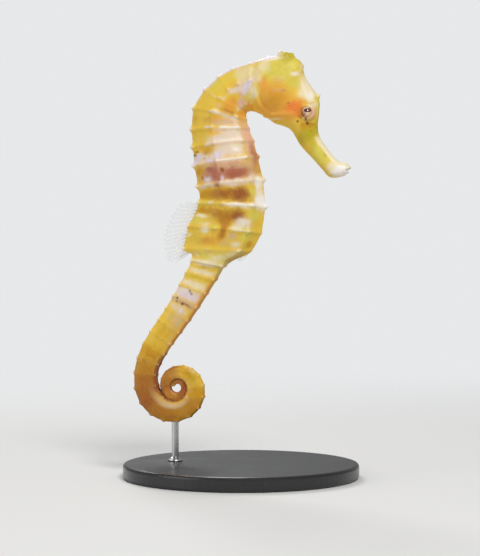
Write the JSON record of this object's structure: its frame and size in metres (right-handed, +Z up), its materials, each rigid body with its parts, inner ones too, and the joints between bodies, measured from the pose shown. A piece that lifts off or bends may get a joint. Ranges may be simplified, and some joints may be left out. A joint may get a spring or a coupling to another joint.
{
  "type": "seahorse model on a display stand",
  "caption": "Life-size still model of a yellow seahorse with a bowed head and a coiled tail, held above a flat round base by one short rod.",
  "frame": {"origin": "centre of the stand base's underside, on the surface that the model stands on", "axes": "+Z up; the seahorse's plane of symmetry is XZ and it faces +X; its left side is +Y"},
  "size_m": [0.066, 0.066, 0.1194],
  "materials": {
    "snout_skin": "painted resin skin, olive yellow paling to white at the lips, satin",
    "head_skin": "painted resin skin, golden yellow with an orange gill cover, satin",
    "trunk_skin": "painted resin skin, golden yellow with cream rings and brown bars, satin",
    "tail_skin": "painted resin skin, golden to orange brown, satin",
    "fin": "clear thin membrane over whitish rays, glossy",
    "eye": "glass eye, dark pupil in a gold iris, polished",
    "stand_base": "black acrylic, satin, with softened rims",
    "stand_rod": "thin steel rod, brushed along its length"
  },
  "bodies": {
    "root": {"snout": "snout_skin", "head": "head_skin", "coronet": "head_skin", "neck": "trunk_skin", "chest": "trunk_skin", "trunk_upper": "trunk_skin", "trunk_middle": "trunk_skin", "trunk_lower": "trunk_skin", "tail_root": "tail_skin", "tail_middle": "tail_skin", "tail_bend": "tail_skin", "tail_coil_1": "tail_skin", "tail_coil_2": "tail_skin", "tail_coil_3": "tail_skin", "tail_coil_4": "tail_skin", "tail_tip": "tail_skin", "dorsal_fin": "fin", "anal_fin": "fin", "pectoral_fin_left": "fin", "pectoral_fin_right": "fin", "eye_left": "eye", "eye_right": "eye", "stand_base": "stand_base", "stand_rod": "stand_rod"}
  },
  "joints": []
}
